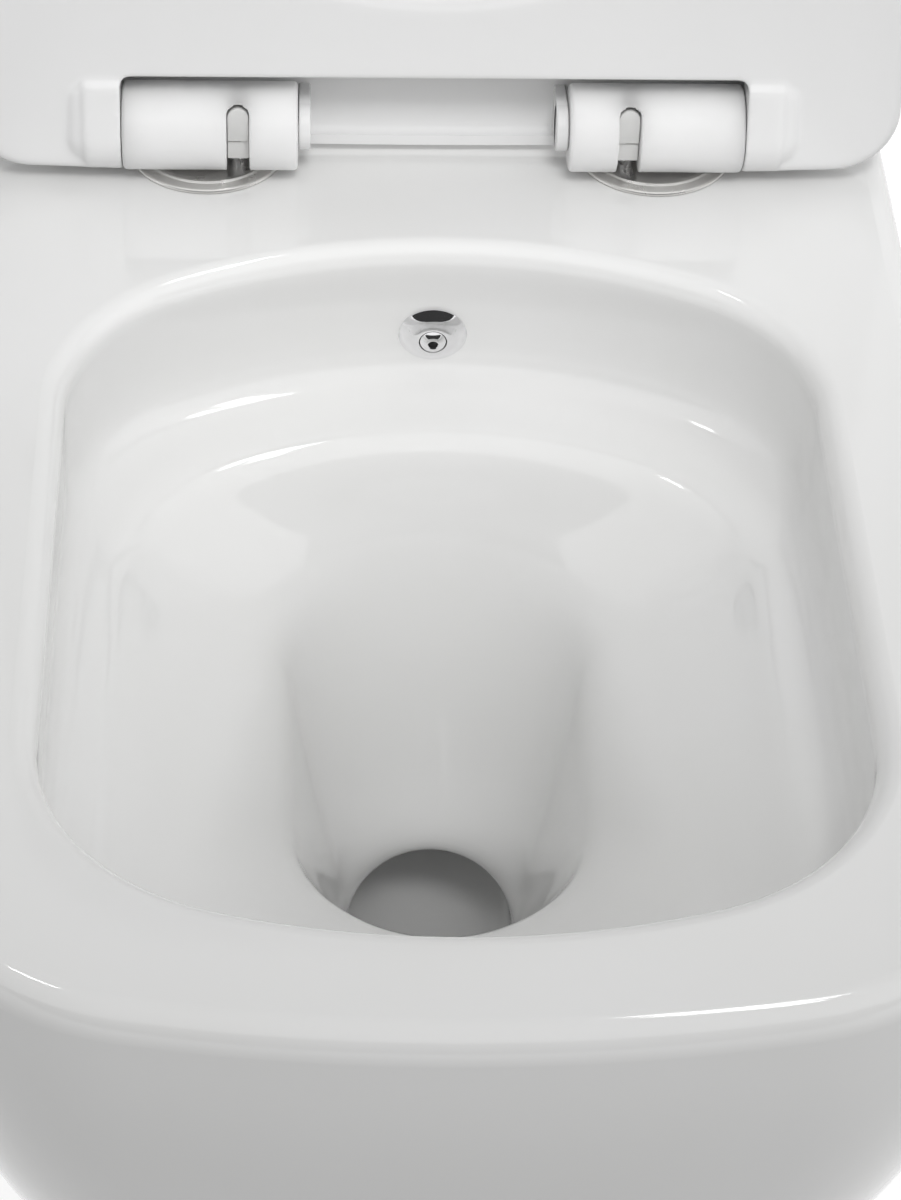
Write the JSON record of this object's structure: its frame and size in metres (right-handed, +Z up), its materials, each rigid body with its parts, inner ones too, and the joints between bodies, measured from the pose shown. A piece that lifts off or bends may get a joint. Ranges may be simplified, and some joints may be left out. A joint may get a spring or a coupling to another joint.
{
  "type": "wall hung toilet",
  "caption": "Wall hung toilet pan with a rimless bowl, a trap, a wash jet in the back wall, and a soft close seat and cover that lift off steel posts.",
  "frame": {"origin": "on the wall plane, midway between the two wall studs", "axes": "+X to the right for a person facing the wall, +Y into the wall, +Z up. The pan reaches towards -Y."},
  "size_m": [0.355, 0.5303, 0.8133],
  "materials": {
    "glaze": "high gloss white glaze",
    "seat_plastic": "gloss white",
    "barrel_plastic": "satin white",
    "clip_plastic": "matt light grey",
    "steel": "satin",
    "chrome": "polished",
    "rubber": "matt black",
    "pad_rubber": "matt white, a little clear",
    "fixing_plastic": "matt white"
  },
  "bodies": {
    "pan": {"pan_ceramic": "glaze", "bowl_ceramic": "glaze", "trap_inlet_ceramic": "glaze", "trap_bend_ceramic": "glaze", "trap_weir_ceramic": "glaze", "outlet_ceramic": "glaze", "inlet_seal": "rubber", "outlet_seal": "rubber", "jet_flange": "chrome", "jet_body": "steel", "jet_gasket": "rubber", "jet_lock_nut": "steel", "supply_pipe": "steel", "supply_coupling": "steel", "base_disc_right": "steel", "base_plate_right": "steel", "hinge_post_right": "steel", "seat_bolt_right": "steel", "cone_washer_right": "rubber", "clamp_washer_right": "fixing_plastic", "wing_nut_right": "fixing_plastic", "fixing_sleeve_right": "fixing_plastic", "side_screw_right": "steel", "side_cap_right": "fixing_plastic", "base_disc_left": "steel", "base_plate_left": "steel", "hinge_post_left": "steel", "seat_bolt_left": "steel", "cone_washer_left": "rubber", "clamp_washer_left": "fixing_plastic", "wing_nut_left": "fixing_plastic", "fixing_sleeve_left": "fixing_plastic", "side_screw_left": "steel", "side_cap_left": "fixing_plastic"},
    "hinge_set": {"hinge_barrel_right": "barrel_plastic", "post_clip_right": "clip_plastic", "damper_right": "steel", "hinge_barrel_left": "barrel_plastic", "post_clip_left": "clip_plastic", "damper_left": "steel"},
    "seat": {"seat_ring": "seat_plastic", "seat_axle_right": "steel", "seat_pad_rear_right": "pad_rubber", "seat_pad_front_right": "pad_rubber", "seat_axle_left": "steel", "seat_pad_rear_left": "pad_rubber", "seat_pad_front_left": "pad_rubber"},
    "cover": {"cover_shell": "seat_plastic", "cover_pin_right": "steel", "cover_pad_rear_right": "pad_rubber", "cover_pad_front_right": "pad_rubber", "cover_pin_left": "steel", "cover_pad_rear_left": "pad_rubber", "cover_pad_front_left": "pad_rubber"},
    "jet_eye": {"jet_ball": "chrome"}
  },
  "joints": [
    {"name": "seat_lift_off", "type": "slide", "parent": "pan", "child": "hinge_set", "axis": [0, 0, 1], "range_m": [0, 0.04]},
    {"name": "cover_hinge", "type": "hinge", "parent": "hinge_set", "child": "cover", "pos_m": [0, -0.0775, 0.1106], "axis": [1, 0, 0], "range_deg": [0, 96]},
    {"name": "seat_hinge", "type": "hinge", "parent": "hinge_set", "child": "seat", "pos_m": [0, -0.0775, 0.1106], "axis": [1, 0, 0], "range_deg": [0, 96]},
    {"name": "jet_tilt", "type": "hinge", "parent": "pan", "child": "jet_eye", "pos_m": [0, -0.12649, 0.04784], "axis": [1, 0, 0], "range_deg": [-12, 12]}
  ],
  "couplings": [
    {"joint": "seat_hinge", "follows": "cover_hinge", "ratio": 1}
  ]
}
